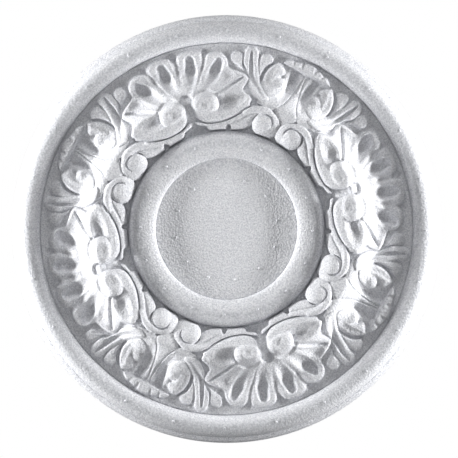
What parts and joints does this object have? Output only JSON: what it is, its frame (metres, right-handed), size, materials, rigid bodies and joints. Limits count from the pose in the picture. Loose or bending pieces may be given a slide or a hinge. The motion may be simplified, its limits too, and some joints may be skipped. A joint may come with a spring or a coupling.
{
  "type": "ceiling rose",
  "caption": "Round moulded foam ceiling rose: a carved ring of shells, leaves and scrolls around a plain raised boss with a recessed seat, inside a half-round border.",
  "frame": {"origin": "centre of the flat back, which is glued to the ceiling", "axes": "+Z out of the back, up into the ceiling; the face looks down along -Z; +X through the middle of one shell"},
  "size_m": [0.4, 0.4, 0.0396],
  "materials": {
    "foam": "matt white moulded polystyrene foam with a fine bead grain"
  },
  "bodies": {
    "root": {"ceiling_rose": "foam"}
  },
  "joints": []
}
